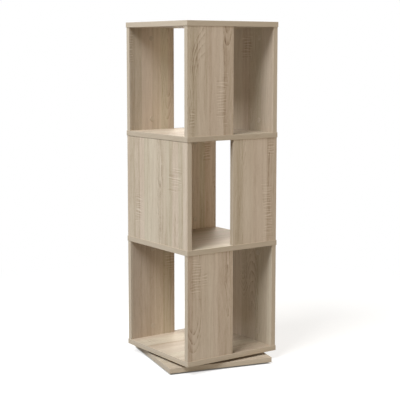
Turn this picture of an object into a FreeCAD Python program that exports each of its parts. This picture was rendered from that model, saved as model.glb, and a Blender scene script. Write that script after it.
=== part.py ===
import FreeCAD, Part
import os

import Sketcher
from FreeCAD import Placement, Rotation, Vector

# A rotary filing cabinet: a square base board on floor glides, a ball bearing, and a
# tower of three storeys that turns on it. Origin on the floor under the tower's axis,
# +Z up, -Y the front. Millimetres.

SIZES = (
    # boards and uprights
    ("board_width", 346, "side of the tower's square boards"),
    ("base_width", 346, "side of the square base board"),
    ("board_thickness", 16, "melamine-faced chipboard"),
    ("tier_height", 329, "clear height of one storey"),
    ("panel_inset", 1.5, "an upright's outer face behind the boards' edge"),
    ("half_panel_width", 171.5, "front and rear uprights"),
    ("band_thickness", 0.8, "edge banding"),
    ("band_rounding", 0.5, "radius of the banding's outer edges"),
    ("band_joint", 0.1, "hairline where one strip of banding ends at the next"),
    ("base_turn", 13.5, "degrees that the base board stands turned under the tower"),
    # floor glides and their nails
    ("glide_height", 5, "moulded floor glide"),
    ("glide_diameter", 26, "moulded floor glide"),
    ("glide_rounding", 1.5, "radius round the glide's sole"),
    ("glide_inset", 30, "glide's centre in from the base board's edges"),
    ("glide_recess_depth", 2.5, "sinks the nail's head clear of the floor"),
    ("glide_recess_diameter", 9, "sinks the nail's head clear of the floor"),
    ("nail_diameter", 2, "glide nail's shank"),
    ("nail_length", 15, "glide nail's shank"),
    ("nail_head_diameter", 6, "glide nail"),
    ("nail_head_height", 1.2, "glide nail"),
    # swivel bearing
    ("race_thickness", 1.5, "steel sheet of both race plates"),
    ("race_width", 200, "side of the square race plates"),
    ("race_corner_radius", 10, "race plates"),
    ("hub_diameter", 90, "bore inside the lower race's hub"),
    ("lip_width", 7, "the hub's lip, turned out over the upper race's"),
    ("lip_side_play", 1.5, "between the two lips and walls, sideways"),
    ("lip_play", 0.5, "between the two lips, up and down"),
    ("ball_diameter", 6, "bearing ball"),
    ("ball_count", 24, "bearing balls"),
    ("ball_play", 0.2, "between a ball and its tracks"),
    ("track_depth", 0.5, "how far a ball sits in each race plate"),
    ("track_margin", 20, "ball circle outside the upper race's wall"),
    ("cage_width", 14, "ball cage ring, across"),
    ("cage_thickness", 1.2, "ball cage ring"),
    ("cage_play", 0.3, "between a ball and its pocket"),
    ("race_screw_margin", 15, "screw's centre in from the race plate's edges"),
    ("screw_diameter", 4, "race screw's shank"),
    ("screw_length", 12, "race screw under its head"),
    ("screw_head_diameter", 8, "race screw's pan head"),
    ("screw_head_rounding", 0.8, "race screw's pan head"),
    ("screw_hole_play", 0.6, "race plate's hole over the screw"),
    ("head_play", 1.0, "between upper and lower screw heads as they pass"),
    ("drive_width", 1.0, "cross recess in a screw head"),
    ("drive_length", 4.4, "cross recess in a screw head"),
    ("drive_depth", 1.2, "cross recess in a screw head"),
    ("access_hole_diameter", 16, "through the base board, for the upper race's screws"),
    # dowels, cam connectors and their bolts
    ("dowel_diameter", 8, "beech dowel"),
    ("dowel_length", 30, "beech dowel"),
    ("dowel_board_depth", 11, "dowel's length inside a board"),
    ("dowel_chamfer", 1, "dowel's ends"),
    ("dowel_margin", 40, "dowel's centre in from an upright's edge"),
    ("end_play", 0.5, "a blind hole beyond what stands in it"),
    ("fit", 0.1, "a hole's diameter over what it holds"),
    ("cam_diameter", 15, "cam housing"),
    ("cam_height", 12.3, "cam housing"),
    ("cam_recess", 0.2, "cam below the upright's inner face"),
    ("cam_setback", 34, "cam's centre from the upright's end"),
    ("cam_margin", 72, "cam's centre in from a wide upright's edge"),
    ("cam_drive_diameter", 5.5, "round of the cam's screwdriver recess"),
    ("cam_drive_depth", 2.2, "cam's screwdriver recess"),
    ("cam_slot_width", 1.4, "cam's screwdriver slot"),
    ("cam_slot_length", 11, "cam's screwdriver slot"),
    ("cap_diameter", 17, "cover cap over the cam"),
    ("cap_thickness", 1.0, "cover cap over the cam"),
    ("cap_rounding", 0.5, "cover cap's rim"),
    ("cap_spigot_length", 1.8, "cover cap's spigot in the cam's recess"),
    ("bolt_thread_diameter", 5, "cam bolt in the board"),
    ("bolt_thread_length", 11, "cam bolt in the board"),
    ("bolt_shoulder_diameter", 7.4, "cam bolt's shoulder on the board"),
    ("bolt_shoulder_length", 2, "cam bolt's shoulder on the board"),
    ("bolt_shank_diameter", 6, "cam bolt"),
    ("bolt_neck_diameter", 4.4, "cam bolt, where the cam grips it"),
    ("bolt_head_diameter", 7, "cam bolt"),
    ("bolt_head_length", 7, "cam bolt"),
    ("bolt_bore_diameter", 8, "hole in an upright's end for the cam bolt"),
    ("bolt_play", 0.4, "between the bolt's head and neck and the cam"),
)

# Levels, measured from the floor
BASE_LEVEL = "Sizes.glide_height"
BEARING_LEVEL = "(Sizes.glide_height + Sizes.board_thickness)"
BEARING_HEIGHT = "(2 * Sizes.race_thickness + Sizes.ball_diameter - 2 * Sizes.track_depth)"
TOWER_LEVEL = f"({BEARING_LEVEL} + {BEARING_HEIGHT})"
STOREY = "(Sizes.board_thickness + Sizes.tier_height)"

# Plan distances from the tower's axis
FIELD = "(Sizes.board_width / 2 - Sizes.panel_inset)"
PANEL_LINE = f"({FIELD} - Sizes.board_thickness / 2)"
HALF_CENTRE = f"({FIELD} - Sizes.half_panel_width / 2)"
GLIDE_OFFSET = "(Sizes.base_width / 2 - Sizes.glide_inset)"
RACE_SCREW_OFFSET = "(Sizes.race_width / 2 - Sizes.race_screw_margin)"

# Widths of the two kinds of upright
WIDE = f"(2 * {FIELD})"
NARROW = "Sizes.half_panel_width"

# Radii of the bearing
HUB = "(Sizes.hub_diameter / 2)"
LIP_RIM = f"({HUB} + Sizes.lip_width)"
WALL = f"({LIP_RIM} + Sizes.lip_side_play)"
TRACK = f"({WALL} + Sizes.race_thickness + Sizes.track_margin)"
SCREW_HEAD_HEIGHT = (
    f"(({BEARING_HEIGHT} - 2 * Sizes.race_thickness - Sizes.head_play) / 2)"
)

# The storeys from the bottom up, with the side of their wide upright: 1 is +X
TIERS = (("lower", 1), ("middle", -1), ("upper", 1))
SIGNS = (-1, 1)

doc = FreeCAD.newDocument("RotaryFilingCabinet")
nodes = []


def fill_sheet():
    """The driving dimensions, one row each: alias and number, with a note."""
    sheet = doc.addObject("Spreadsheet::Sheet", "Sizes")
    for row, (alias, value, note) in enumerate(SIZES, start=1):
        sheet.set(f"A{row}", note)
        sheet.set(f"B{row}", str(value))
        sheet.setAlias(f"B{row}", alias)
    doc.recompute()


# ---------------------------------------------------------------- drawing helpers


def new_body(label):
    body = doc.addObject("PartDesign::Body", label)
    body.Label = label
    body.AllowCompound = True
    return body


def origin_feature(body, role):
    return next(item for item in body.Origin.OriginFeatures if item.Role == role)


def sketch(body, plane="XY_Plane", level="0"):
    """An empty sketch on one of the body's origin planes, or parallel to it at a level."""
    drawn = body.newObject("Sketcher::SketchObject", "Sketch")
    drawn.AttachmentSupport = [(origin_feature(body, plane), "")]
    drawn.MapMode = "FlatFace"
    along_normal = "-1" if plane == "XZ_Plane" else "1"
    drawn.setExpression("AttachmentOffset.Base.z", f"{along_normal} * ({level})")
    return drawn


def dimension(drawn, constraint, expression):
    index = drawn.addConstraint(constraint)
    drawn.setExpression(f"Constraints[{index}]", expression)


def locate(drawn, geometry, point, x, y):
    """Dimensions a point of the sketch from the sketch's origin."""
    for kind, where in (("DistanceX", x), ("DistanceY", y)):
        value = drawn.evalExpression(where)
        dimension(drawn, Sketcher.Constraint(kind, -1, 1, geometry, point, value), where)


def circle(drawn, x, y, diameter):
    value = drawn.evalExpression
    centre = Vector(value(x), value(y), 0)
    ring = Part.Circle(centre, Vector(0, 0, 1), value(diameter) / 2)
    index = drawn.addGeometry(ring)
    locate(drawn, index, 3, x, y)
    dimension(drawn, Sketcher.Constraint("Diameter", index, value(diameter)), diameter)


def polygon(drawn, corners):
    """A closed outline of straight lines, each corner dimensioned from the origin."""
    value = drawn.evalExpression
    points = [Vector(value(x), value(y), 0) for x, y in corners]
    first = drawn.GeometryCount
    count = len(points)
    for index, point in enumerate(points):
        drawn.addGeometry(Part.LineSegment(point, points[(index + 1) % count]))
    for index, (x, y) in enumerate(corners):
        line = first + index
        after = first + (index + 1) % count
        drawn.addConstraint(Sketcher.Constraint("Coincident", line, 2, after, 1))
        locate(drawn, line, 1, x, y)


def rectangle(drawn, left, right, low, high):
    polygon(drawn, [(left, low), (right, low), (right, high), (left, high)])


def faces_forward(drawn):
    """Whether the sketch's normal points along +X, +Y or +Z."""
    normal = drawn.Placement.Rotation.multVec(Vector(0, 0, 1))
    return normal.x + normal.y + normal.z > 0


def pad(body, drawn, length, forward=True):
    doc.recompute()
    feature = body.newObject("PartDesign::Pad", "Pad")
    feature.Profile = drawn
    feature.Reversed = faces_forward(drawn) != forward
    feature.setExpression("Length", length)
    doc.recompute()
    return feature


def pocket(body, drawn, depth, forward):
    """Cuts the sketch into the body; forward is towards +Y or +Z."""
    doc.recompute()
    before = body.Shape.Volume
    feature = body.newObject("PartDesign::Pocket", "Pocket")
    feature.Profile = drawn
    feature.Reversed = faces_forward(drawn) == forward
    feature.setExpression("Length", depth)
    doc.recompute()
    check_cut(body, before)
    return feature


def revolve(body, kind, drawn):
    """Turns an XZ sketch about the Z axis: kind is Revolution (adds) or Groove (cuts)."""
    before = body.Shape.Volume if body.Tip else 0
    feature = body.newObject(f"PartDesign::{kind}", kind)
    feature.Profile = drawn
    feature.ReferenceAxis = (origin_feature(body, "Z_Axis"), [""])
    feature.Angle = 360
    doc.recompute()
    if kind == "Groove":
        check_cut(body, before)


def polar_pattern(body, feature, count):
    pattern = body.newObject("PartDesign::PolarPattern", "PolarPattern")
    pattern.Originals = [feature]
    pattern.Axis = (origin_feature(body, "Z_Axis"), [""])
    pattern.Angle = 360
    pattern.setExpression("Occurrences", count)
    body.Tip = pattern
    doc.recompute()


def check_cut(body, before):
    if body.Shape.Volume > before - 1e-6:
        raise RuntimeError(f"a cut in {body.Label} removed nothing")


def dress_edges(body, kind, wanted, size):
    """A Fillet or Chamfer on each edge of the body's tip that wanted() picks."""
    base = body.Tip
    box = base.Shape.BoundBox
    names = [
        f"Edge{number}"
        for number, edge in enumerate(base.Shape.Edges, start=1)
        if wanted(edge, box)
    ]
    feature = body.newObject(f"PartDesign::{kind}", kind)
    feature.Base = (base, names)
    feature.setExpression("Radius" if kind == "Fillet" else "Size", size)
    doc.recompute()


def near(a, b):
    return abs(a - b) < 1e-4


def runs_along(edge, axis):
    """Whether a straight edge runs along the x, y or z axis."""
    if not isinstance(edge.Curve, Part.Line):
        return False
    return near(abs(getattr(edge.Curve.Direction, axis)), 1)


def is_round(edge):
    return isinstance(edge.Curve, Part.Circle)


def place(piece, level, turned=False):
    """Lifts a piece to its level on the axis; what belongs to the foot is also turned."""
    if turned:
        piece.Placement = Placement(Vector(), Rotation(Vector(0, 0, -1), 1))
        piece.setExpression("Placement.Rotation.Angle", "Sizes.base_turn")
    piece.setExpression("Placement.Base.z", level)


def group(label, members):
    """Several bodies kept as separate solids in one node."""
    compound = doc.addObject("Part::Compound", label)
    compound.Label = label
    compound.Links = members
    return compound


def keep(piece):
    nodes.append(piece)
    return piece


def four_corners(offset):
    return [(f"{a} * {offset}", f"{b} * {offset}") for a in SIGNS for b in SIGNS]


def drill(body, spots, diameter, depth, level, forward, plane="XY_Plane"):
    drawn = sketch(body, plane, level)
    for x, y in spots:
        circle(drawn, x, y, diameter)
    pocket(body, drawn, depth, forward)


# ---------------------------------------------------------------- boards


def board_core(label, width):
    """A square board without its banding, centred on the axis, standing on z = 0."""
    body = new_body(label)
    half = f"({width} / 2 - Sizes.band_thickness)"
    drawn = sketch(body)
    rectangle(drawn, f"-{half}", half, f"-{half}", half)
    pad(body, drawn, "Sizes.board_thickness")
    return body


def board_banding(label, width, level, turned=False):
    """Four strips round a square board. The left and right ones cover the others' ends."""
    rim = f"({width} / 2)"
    core = f"({width} / 2 - Sizes.band_thickness)"
    end = f"({core} - Sizes.band_joint)"
    rounding = "min(Sizes.band_rounding; 0.7 * Sizes.band_thickness)"

    front_rear = new_body(f"{label}_front_rear")
    drawn = sketch(front_rear)
    rectangle(drawn, f"-{end}", end, f"-{rim}", f"-{core}")
    rectangle(drawn, f"-{end}", end, core, rim)
    pad(front_rear, drawn, "Sizes.board_thickness")

    def outer_long_edge(edge, box):
        return runs_along(edge, "x") and near(abs(edge.CenterOfMass.y), box.YMax)

    dress_edges(front_rear, "Fillet", outer_long_edge, rounding)

    left_right = new_body(f"{label}_left_right")
    drawn = sketch(left_right)
    rectangle(drawn, f"-{rim}", f"-{core}", f"-{rim}", rim)
    rectangle(drawn, core, rim, f"-{rim}", rim)
    pad(left_right, drawn, "Sizes.board_thickness")

    def outer_edge(edge, box):
        on_face = near(abs(edge.CenterOfMass.x), box.XMax)
        on_end = runs_along(edge, "x") and near(abs(edge.CenterOfMass.y), box.YMax)
        return on_face or on_end

    dress_edges(left_right, "Fillet", outer_edge, rounding)

    banding = keep(group(label, [front_rear, left_right]))
    place(banding, level, turned)


def dowel_spots(side):
    """Where the dowels of a tier stand in the boards above and below it."""
    wide = f"({WIDE} / 2 - Sizes.dowel_margin)"
    narrow = f"({NARROW} / 2 - Sizes.dowel_margin)"
    spots = [(f"{side} * {PANEL_LINE}", f"{sign} * {wide}") for sign in SIGNS]
    for face in SIGNS:
        for sign in SIGNS:
            across = f"{-side} * ({HALF_CENTRE} + {sign} * {narrow})"
            spots.append((across, f"{face} * {PANEL_LINE}"))
    return spots


def bolt_spots(side):
    """Where the cam bolts of a tier stand in the boards above and below it."""
    wide = f"({WIDE} / 2 - Sizes.cam_margin)"
    spots = [(f"{side} * {PANEL_LINE}", f"{sign} * {wide}") for sign in SIGNS]
    return spots + [(f"{-side} * {HALF_CENTRE}", f"{face} * {PANEL_LINE}") for face in SIGNS]


def bore_board(body, side, upper_face):
    """Blind holes for one tier's dowels and bolts, in the board's upper or lower face."""
    level = "Sizes.board_thickness" if upper_face else "0"
    dowel_bore = "Sizes.dowel_diameter + Sizes.fit"
    dowel_depth = "Sizes.dowel_board_depth + Sizes.end_play"
    drill(body, dowel_spots(side), dowel_bore, dowel_depth, level, not upper_face)
    bolt_bore = "Sizes.bolt_thread_diameter + Sizes.fit"
    bolt_depth = "Sizes.bolt_thread_length + Sizes.end_play"
    drill(body, bolt_spots(side), bolt_bore, bolt_depth, level, not upper_face)


def tower_board(label, storeys_below, side_below, side_above):
    """One of the tower's four boards, with its banding, dowels and cam bolts."""
    level = f"{TOWER_LEVEL} + {storeys_below} * {STOREY}"
    body = board_core(label, "Sizes.board_width")
    if side_below:
        bore_board(body, side_below, upper_face=False)
    if side_above:
        bore_board(body, side_above, upper_face=True)
    if not side_below:
        depth = "Sizes.screw_length - Sizes.race_thickness + Sizes.end_play"
        bore = "Sizes.screw_diameter + Sizes.fit"
        drill(body, four_corners(RACE_SCREW_OFFSET), bore, depth, "0", True)
    place(keep(body), level)
    board_banding(f"{label}_edging", "Sizes.board_width", level)
    dowels(f"{label}_dowels", level, side_below, side_above)
    cam_bolts(f"{label}_cam_bolts", level, side_below, side_above)


def dowels(label, level, side_below, side_above):
    """The dowels that stand in one board, above it and below it."""
    body = new_body(label)
    outside = "(Sizes.dowel_length - Sizes.dowel_board_depth)"
    faces = ((side_below, f"-{outside}"),
             (side_above, "Sizes.board_thickness - Sizes.dowel_board_depth"))
    for side, start in faces:
        if side:
            drawn = sketch(body, level=start)
            for x, y in dowel_spots(side):
                circle(drawn, x, y, "Sizes.dowel_diameter")
            pad(body, drawn, "Sizes.dowel_length")
    chamfer = "min(Sizes.dowel_chamfer; Sizes.dowel_diameter / 4)"
    dress_edges(body, "Chamfer", lambda edge, box: is_round(edge), chamfer)
    place(keep(body), level)


def cam_bolts(label, level, side_below, side_above):
    """The cam bolts screwed into one board: thread, shoulder, shank, neck and head."""
    head_start = "(Sizes.cam_setback - Sizes.bolt_head_length / 2)"
    neck_start = "(Sizes.cam_setback - Sizes.cam_diameter / 2 - Sizes.bolt_play)"
    steps = (
        ("-Sizes.bolt_thread_length", "0", "Sizes.bolt_thread_diameter"),
        ("0", "Sizes.bolt_shoulder_length", "Sizes.bolt_shoulder_diameter"),
        ("Sizes.bolt_shoulder_length", neck_start, "Sizes.bolt_shank_diameter"),
        (neck_start, head_start, "Sizes.bolt_neck_diameter"),
        (head_start, f"{head_start} + Sizes.bolt_head_length", "Sizes.bolt_head_diameter"),
    )
    body = new_body(label)
    for side, face, way in ((side_below, "0", -1), (side_above, "Sizes.board_thickness", 1)):
        if side:
            for start, end, diameter in steps:
                drawn = sketch(body, level=f"{face} + {way} * ({start})")
                for x, y in bolt_spots(side):
                    circle(drawn, x, y, diameter)
                pad(body, drawn, f"{end} - ({start})", forward=way > 0)
    place(keep(body), level)


# ---------------------------------------------------------------- uprights

# An upright and its fittings are drawn lying on their outer face: x across from the
# upright's centre line, y up from its lower end, z from its outer to its inner face.


def panel_ends(spots):
    """The same spots at the lower and at the upper end, with the way to that end."""
    top = "Sizes.tier_height - Sizes.cam_setback"
    return [(x, "Sizes.cam_setback", -1) for x in spots] + [(x, top, 1) for x in spots]


def panel_core(label, width, dowels_at, cams_at):
    """An upright without its banding, bored at both ends for dowels, bolts and cams."""
    body = new_body(label)
    half = f"({width} / 2 - Sizes.band_thickness)"
    drawn = sketch(body)
    rectangle(drawn, f"-{half}", half, "0", "Sizes.tier_height")
    pad(body, drawn, "Sizes.board_thickness")

    cam_depth = "Sizes.cam_height + Sizes.cam_recess + Sizes.fit"
    cam_spots = [(x, y) for x, y, way in panel_ends(cams_at)]
    drill(body, cam_spots, "Sizes.cam_diameter + Sizes.fit", cam_depth,
          "Sizes.board_thickness", False)

    middle = "Sizes.board_thickness / 2"
    dowel_depth = "Sizes.dowel_length - Sizes.dowel_board_depth + Sizes.end_play"
    for level, forward in (("0", True), ("Sizes.tier_height", False)):
        drill(body, [(x, middle) for x in cams_at], "Sizes.bolt_bore_diameter",
              "Sizes.cam_setback", level, forward, "XZ_Plane")
        drill(body, [(x, middle) for x in dowels_at], "Sizes.dowel_diameter + Sizes.fit",
              dowel_depth, level, forward, "XZ_Plane")
    return body


def panel_banding(label, width):
    """The two strips on an upright's long edges."""
    body = new_body(label)
    rim = f"({width} / 2)"
    core = f"({width} / 2 - Sizes.band_thickness)"
    drawn = sketch(body)
    rectangle(drawn, f"-{rim}", f"-{core}", "0", "Sizes.tier_height")
    rectangle(drawn, core, rim, "0", "Sizes.tier_height")
    pad(body, drawn, "Sizes.board_thickness")

    def outer_long_edge(edge, box):
        return runs_along(edge, "y") and near(abs(edge.CenterOfMass.x), box.XMax)

    rounding = "min(Sizes.band_rounding; 0.7 * Sizes.band_thickness)"
    dress_edges(body, "Fillet", outer_long_edge, rounding)
    return body


def cams(label, cams_at):
    """Cam housings, hollow from below: a chamber for the bolt's head and a slot for its
    neck, which is too narrow for the head; a screwdriver recess on the face."""
    body = new_body(label)
    face = "(Sizes.board_thickness - Sizes.cam_recess)"
    floor = f"({face} - Sizes.cam_height)"
    drawn = sketch(body, level=floor)
    for x, y, way in panel_ends(cams_at):
        circle(drawn, x, y, "Sizes.cam_diameter")
    pad(body, drawn, "Sizes.cam_height")

    chamber_half = "(Sizes.bolt_head_diameter / 2 + Sizes.bolt_play)"
    chamber_reach = "(Sizes.bolt_head_length / 2 + Sizes.bolt_play)"
    depth = f"Sizes.board_thickness / 2 + {chamber_half} - {floor}"
    drawn = sketch(body, level=floor)
    for x, y, way in panel_ends(cams_at):
        rectangle(drawn, f"{x} - {chamber_half}", f"{x} + {chamber_half}",
                  f"{y} - {chamber_reach}", f"{y} + {chamber_reach}")
    pocket(body, drawn, depth, True)

    slot_half = "(Sizes.bolt_neck_diameter / 2 + Sizes.bolt_play)"
    drawn = sketch(body, level=floor)
    for x, y, way in panel_ends(cams_at):
        rectangle(drawn, f"{x} - {slot_half}", f"{x} + {slot_half}",
                  y, f"{y} + {way} * Sizes.cam_diameter")
    pocket(body, drawn, depth, True)

    drill(body, [(x, y) for x, y, way in panel_ends(cams_at)], "Sizes.cam_drive_diameter",
          "Sizes.cam_drive_depth", face, False)
    drawn = sketch(body, level=face)
    for x, y, way in panel_ends(cams_at):
        rectangle(drawn, f"{x} - Sizes.cam_slot_width / 2", f"{x} + Sizes.cam_slot_width / 2",
                  f"{y} - Sizes.cam_slot_length / 2", f"{y} + Sizes.cam_slot_length / 2")
    pocket(body, drawn, "Sizes.cam_drive_depth", False)
    return body


def cam_caps(label, cams_at):
    """Thin cover caps on the inner face, each with a spigot in its cam's recess."""
    body = new_body(label)
    drawn = sketch(body, level="Sizes.board_thickness")
    for x, y, way in panel_ends(cams_at):
        circle(drawn, x, y, "Sizes.cap_diameter")
    pad(body, drawn, "Sizes.cap_thickness")

    def outer_rim(edge, box):
        return is_round(edge) and near(edge.CenterOfMass.z, box.ZMax)

    rounding = "min(Sizes.cap_rounding; 0.8 * Sizes.cap_thickness)"
    dress_edges(body, "Fillet", outer_rim, rounding)

    drawn = sketch(body, level="Sizes.board_thickness")
    for x, y, way in panel_ends(cams_at):
        circle(drawn, x, y, "Sizes.cam_drive_diameter - Sizes.fit")
    pad(body, drawn, "Sizes.cam_recess + Sizes.cap_spigot_length", forward=False)
    return body


def stand(piece, turn, x, y, level):
    """Stands a lying upright up, its outer face turned from +Y by turn degrees."""
    rotation = Rotation(Vector(0, 0, 1), turn) * Rotation(Vector(1, 0, 0), 90)
    piece.Placement = Placement(Vector(), rotation)
    piece.setExpression("Placement.Base.x", x)
    piece.setExpression("Placement.Base.y", y)
    piece.setExpression("Placement.Base.z", level)


def tier(name, side, storeys_below):
    """One storey: a wide upright at one side, half-width ones in the front and rear."""
    level = f"{TOWER_LEVEL} + {storeys_below} * {STOREY} + Sizes.board_thickness"
    wide_edge = f"({WIDE} / 2)"
    wide = (
        WIDE,
        [f"{sign} * ({wide_edge} - Sizes.dowel_margin)" for sign in SIGNS],
        [f"{sign} * ({wide_edge} - Sizes.cam_margin)" for sign in SIGNS],
    )
    narrow = (
        NARROW,
        [f"{sign} * ({NARROW} / 2 - Sizes.dowel_margin)" for sign in SIGNS],
        ["0"],
    )
    across = f"{-side} * {HALF_CENTRE}"
    uprights = (
        ("side", wide, -90 * side, f"{side} * {FIELD}", "0"),
        ("front", narrow, 180, across, f"-1 * {FIELD}"),
        ("rear", narrow, 0, across, FIELD),
    )
    tier_cams = []
    tier_caps = []
    for where, (width, dowels_at, cams_at), turn, x, y in uprights:
        label = f"{name}_{where}_panel"
        core = keep(panel_core(label, width, dowels_at, cams_at))
        banding = keep(panel_banding(f"{label}_edging", width))
        tier_cams.append(cams(f"{label}_cams", cams_at))
        tier_caps.append(cam_caps(f"{label}_cam_caps", cams_at))
        for piece in (core, banding):
            stand(piece, turn, x, y, level)
        for piece in (tier_cams[-1], tier_caps[-1]):
            stand(piece, turn, x, y, "0")
    place(keep(group(f"{name}_tier_cams", tier_cams)), level)
    place(keep(group(f"{name}_tier_cam_caps", tier_caps)), level)


# ---------------------------------------------------------------- the foot


def base_board():
    """The turned board on the floor, bored for the nails and the bearing's screws."""
    body = board_core("base_board", "Sizes.base_width")
    nail_depth = "Sizes.glide_recess_depth + Sizes.nail_length - Sizes.glide_height"
    drill(body, four_corners(GLIDE_OFFSET), "Sizes.nail_diameter + Sizes.fit",
          f"{nail_depth} + Sizes.end_play", "0", True)
    screw_depth = "Sizes.screw_length - Sizes.race_thickness + Sizes.end_play"
    drill(body, four_corners(RACE_SCREW_OFFSET), "Sizes.screw_diameter + Sizes.fit",
          screw_depth, "Sizes.board_thickness", False)
    reach = f"-{RACE_SCREW_OFFSET} * sqrt(2)"
    drill(body, [("0", reach)], "Sizes.access_hole_diameter", "Sizes.board_thickness",
          "0", True)
    place(keep(body), BASE_LEVEL, turned=True)
    board_banding("base_board_edging", "Sizes.base_width", BASE_LEVEL, turned=True)


def glide(label, x, y):
    """A moulded glide with a rounded sole, recessed for its nail's head."""
    body = new_body(label)
    drawn = sketch(body)
    circle(drawn, x, y, "Sizes.glide_diameter")
    pad(body, drawn, "Sizes.glide_height")

    def sole_rim(edge, box):
        return is_round(edge) and near(edge.CenterOfMass.z, box.ZMin)

    rounding = "min(Sizes.glide_rounding; Sizes.glide_height / 2)"
    dress_edges(body, "Fillet", sole_rim, rounding)
    drill(body, [(x, y)], "Sizes.glide_recess_diameter", "Sizes.glide_recess_depth",
          "0", True)
    drill(body, [(x, y)], "Sizes.nail_diameter + Sizes.fit", "Sizes.glide_height", "0", True)
    place(keep(body), "0", turned=True)


def glide_nails():
    """Flat-headed nails from the glides' recesses up into the base board."""
    body = new_body("glide_nails")
    for diameter, length, forward in (
        ("Sizes.nail_diameter", "Sizes.nail_length", True),
        ("Sizes.nail_head_diameter", "Sizes.nail_head_height", False),
    ):
        drawn = sketch(body, level="Sizes.glide_recess_depth")
        for x, y in four_corners(GLIDE_OFFSET):
            circle(drawn, x, y, diameter)
        pad(body, drawn, length, forward)
    place(keep(body), "0", turned=True)


# ---------------------------------------------------------------- swivel bearing

# All bearing pieces are drawn from the base board's top face, z = 0.


def race_sheet(body, level):
    """A square sheet with rounded corners, a screw hole in each and a round opening."""
    half = "(Sizes.race_width / 2)"
    drawn = sketch(body, level=level)
    rectangle(drawn, f"-{half}", half, f"-{half}", half)
    pad(body, drawn, "Sizes.race_thickness")
    dress_edges(body, "Fillet", lambda edge, box: runs_along(edge, "z"),
                "Sizes.race_corner_radius")
    drill(body, four_corners(RACE_SCREW_OFFSET),
          "Sizes.screw_diameter + Sizes.screw_hole_play", "Sizes.race_thickness",
          level, True)


def ball_track(body):
    """The round groove that the balls run in, cut into a race plate."""
    drawn = sketch(body, "XZ_Plane")
    circle(drawn, TRACK, f"{BEARING_HEIGHT} / 2", "Sizes.ball_diameter + 2 * Sizes.ball_play")
    revolve(body, "Groove", drawn)


def lower_race():
    """Screwed to the base board. Its hub is turned up and out over the upper race's lip."""
    body = new_body("bearing_lower_race")
    race_sheet(body, "0")
    drill(body, [("0", "0")], "Sizes.hub_diameter", "Sizes.race_thickness", "0", True)
    wall = f"({HUB} + Sizes.race_thickness)"
    lip_top = "(3 * Sizes.race_thickness + 2 * Sizes.lip_play)"
    lip_bottom = f"({lip_top} - Sizes.race_thickness)"
    drawn = sketch(body, "XZ_Plane")
    polygon(drawn, [(HUB, "0"), (wall, "0"), (wall, lip_bottom), (LIP_RIM, lip_bottom),
                    (LIP_RIM, lip_top), (HUB, lip_top)])
    revolve(body, "Revolution", drawn)
    ball_track(body)
    place(keep(body), BEARING_LEVEL, turned=True)


def upper_race():
    """Screwed under the tower. Its wall is turned down and in under the hub's lip."""
    body = new_body("bearing_upper_race")
    sheet_bottom = f"({BEARING_HEIGHT} - Sizes.race_thickness)"
    race_sheet(body, sheet_bottom)
    drill(body, [("0", "0")], f"2 * {WALL}", "Sizes.race_thickness", sheet_bottom, True)
    outside = f"({WALL} + Sizes.race_thickness)"
    lip_end = f"({HUB} + Sizes.race_thickness + Sizes.lip_side_play)"
    lip_bottom = "(Sizes.race_thickness + Sizes.lip_play)"
    lip_top = f"({lip_bottom} + Sizes.race_thickness)"
    drawn = sketch(body, "XZ_Plane")
    polygon(drawn, [(lip_end, lip_bottom), (outside, lip_bottom), (outside, BEARING_HEIGHT),
                    (WALL, BEARING_HEIGHT), (WALL, lip_top), (lip_end, lip_top)])
    revolve(body, "Revolution", drawn)
    ball_track(body)
    place(keep(body), BEARING_LEVEL)


def ball_cage():
    """A flat ring half way between the races, with a pocket for each ball."""
    body = new_body("bearing_ball_cage")
    bottom = f"({BEARING_HEIGHT} / 2 - Sizes.cage_thickness / 2)"
    drawn = sketch(body, level=bottom)
    circle(drawn, "0", "0", f"2 * {TRACK} + Sizes.cage_width")
    circle(drawn, "0", "0", f"2 * {TRACK} - Sizes.cage_width")
    pad(body, drawn, "Sizes.cage_thickness")
    drawn = sketch(body, level=bottom)
    circle(drawn, TRACK, "0", "Sizes.ball_diameter + 2 * Sizes.cage_play")
    pocket_cut = pocket(body, drawn, "Sizes.cage_thickness", True)
    polar_pattern(body, pocket_cut, "Sizes.ball_count")
    place(keep(body), BEARING_LEVEL)


def balls():
    body = new_body("bearing_balls")
    ball = body.newObject("PartDesign::AdditiveSphere", "Ball")
    ball.AttachmentSupport = [(origin_feature(body, "XY_Plane"), "")]
    ball.MapMode = "FlatFace"
    ball.setExpression("Radius", "Sizes.ball_diameter / 2")
    ball.setExpression("AttachmentOffset.Base.x", TRACK)
    ball.setExpression("AttachmentOffset.Base.z", f"{BEARING_HEIGHT} / 2")
    doc.recompute()
    polar_pattern(body, ball, "Sizes.ball_count")
    place(keep(body), BEARING_LEVEL)


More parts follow.
